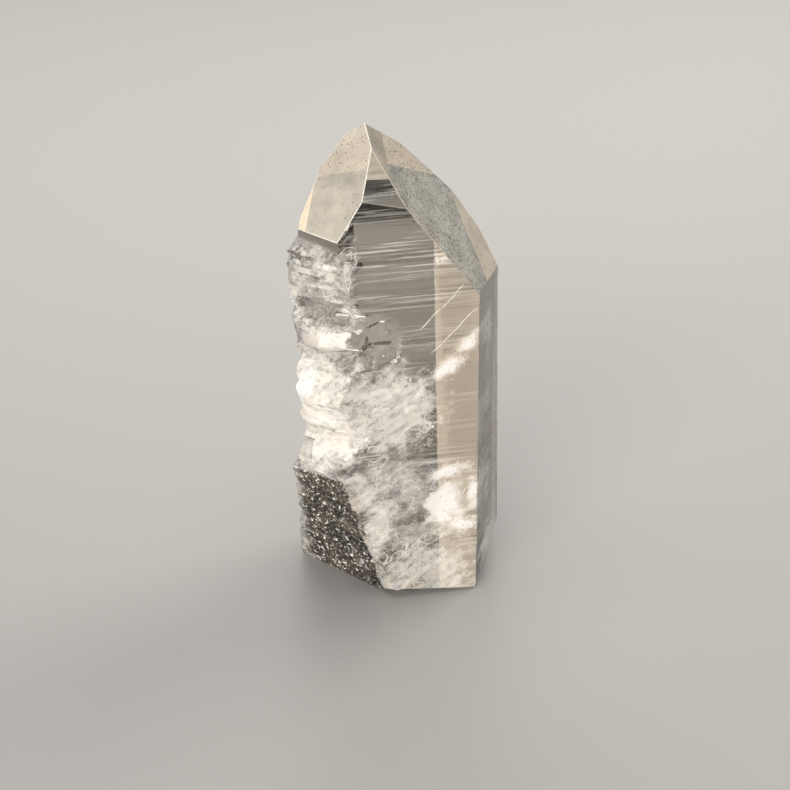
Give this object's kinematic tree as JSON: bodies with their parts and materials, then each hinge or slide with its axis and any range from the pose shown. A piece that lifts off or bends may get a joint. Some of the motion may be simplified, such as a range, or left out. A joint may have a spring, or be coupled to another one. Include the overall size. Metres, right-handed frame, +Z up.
{
  "type": "lemurian quartz tower",
  "caption": "Clear natural quartz point with stepped prism faces, satin tip facets, a broken frosted flank and a rough foot it stands on.",
  "frame": {"origin": "middle of the footprint, on the level that the stone stands on", "axes": "+Z up along the crystal towards its tip, -Y out of the front prism face"},
  "size_m": [0.0316, 0.0228, 0.0694],
  "materials": {
    "quartz": "clear, faintly smoky quartz: smooth stepped faces, satin pitted tip facets, frosted and grainy where broken"
  },
  "bodies": {
    "root": {"quartz_tower": "quartz"}
  },
  "joints": []
}
